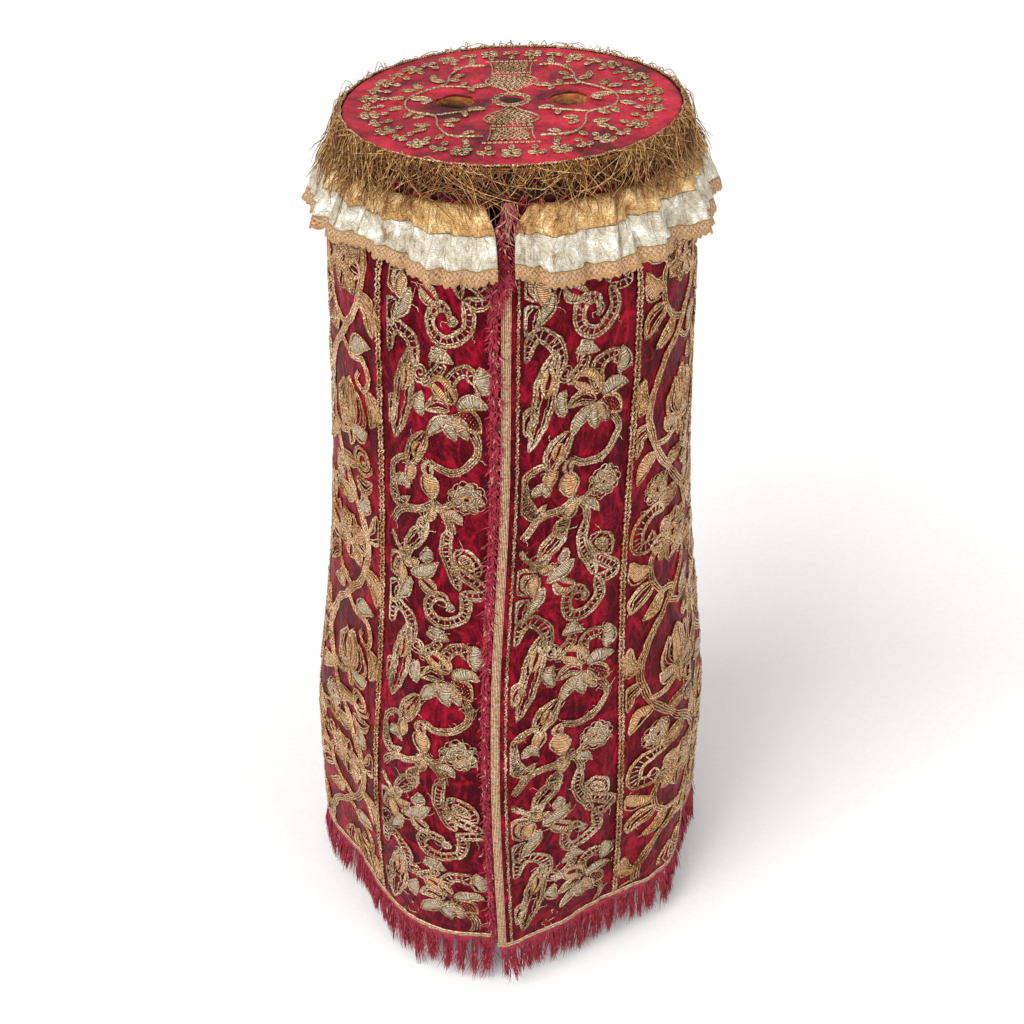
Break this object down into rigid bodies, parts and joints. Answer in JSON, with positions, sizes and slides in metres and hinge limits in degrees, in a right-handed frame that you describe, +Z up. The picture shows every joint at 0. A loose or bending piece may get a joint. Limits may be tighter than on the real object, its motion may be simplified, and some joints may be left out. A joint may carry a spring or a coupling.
{
  "type": "torah mantle",
  "caption": "Tall fitted velvet cover on a round holed top, with a gilt fringe, a gathered flounce, gilt embroidered panels and a silk fringe at the hem.",
  "frame": {"origin": "centre of the underside of the board at the mantle's top, where what it covers carries it", "axes": "+Z up, the mantle hangs down -Z; -Y is the front with the opening; +X is to the right as seen from the front"},
  "size_m": [0.4348, 0.4336, 0.8859],
  "materials": {
    "board": "bare softwood, worn",
    "silk": "crimson silk, worn",
    "velvet": "crushed crimson velvet",
    "gilt": "silver-gilt thread braid",
    "old_gilt": "tarnished gilt thread fringe",
    "gold_cloth": "woven cloth of gold",
    "silver_cloth": "woven cloth of silver",
    "lace": "metal thread lace edging",
    "tufts": "tufted silk braid",
    "silk_fringe": "crimson silk floss fringe"
  },
  "bodies": {
    "root": {"top_board": "board", "top_cover": "silk", "rim_cord": "gilt", "neck_band": "tufts", "top_fringe": "old_gilt", "flounce_gold": "gold_cloth", "flounce_silver": "silver_cloth", "flounce_lace": "lace", "front_panel_left": "velvet", "front_panel_right": "velvet", "side_panel_left": "velvet", "side_panel_right": "velvet", "back_panel": "velvet", "seam_braid_front_left": "gilt", "seam_braid_front_right": "gilt", "seam_braid_back_left": "gilt", "seam_braid_back_right": "gilt", "opening_galloon": "gilt", "opening_couching": "gilt", "opening_tufts": "tufts", "hem_galloon_front_panel_left": "gilt", "hem_galloon_front_panel_right": "gilt", "hem_galloon_side_panel_left": "gilt", "hem_galloon_side_panel_right": "gilt", "hem_galloon_back_panel": "gilt", "hem_fringe": "silk_fringe"}
  },
  "joints": []
}
